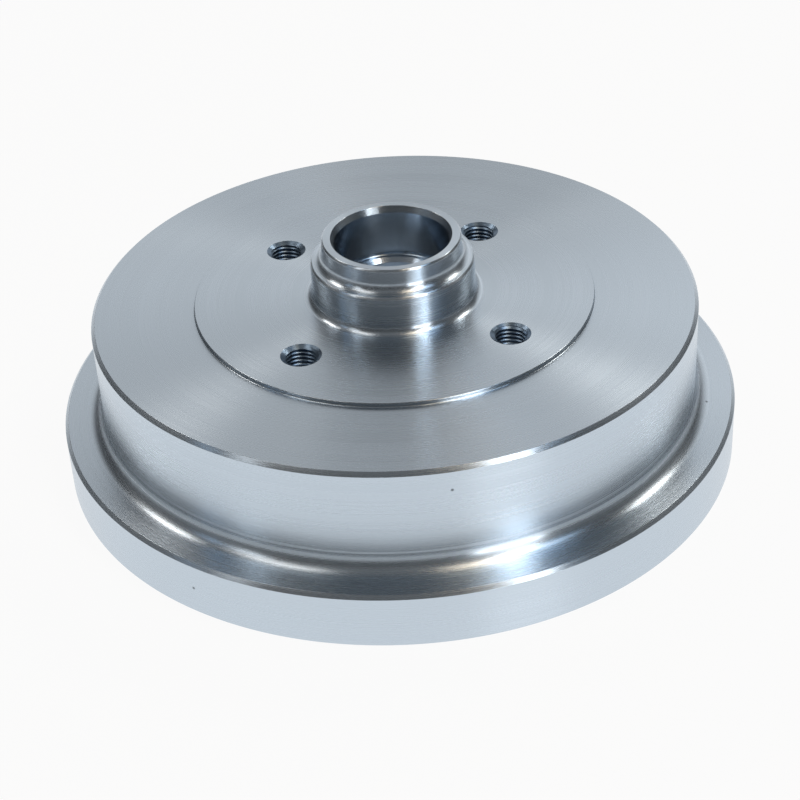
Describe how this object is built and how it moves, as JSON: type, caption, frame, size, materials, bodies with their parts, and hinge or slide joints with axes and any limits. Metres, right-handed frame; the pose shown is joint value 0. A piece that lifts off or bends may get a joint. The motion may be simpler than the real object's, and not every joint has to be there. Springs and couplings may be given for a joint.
{
  "type": "brake drum",
  "caption": "Hubbed brake drum with a closed turned face, raised wheel pad, tapped bolt holes, centring spigot, stepped bearing bore and flanged open rim.",
  "frame": {"origin": "centre of the open rim, on the axis, where the drum rests", "axes": "+Z along the axis of the wheel, from the open rim towards the hub's nose"},
  "size_m": [0.2396, 0.2396, 0.0808],
  "materials": {
    "turned_cast_iron": "fine turned, bare and bright"
  },
  "bodies": {
    "root": {"brake_drum": "turned_cast_iron"}
  },
  "joints": []
}
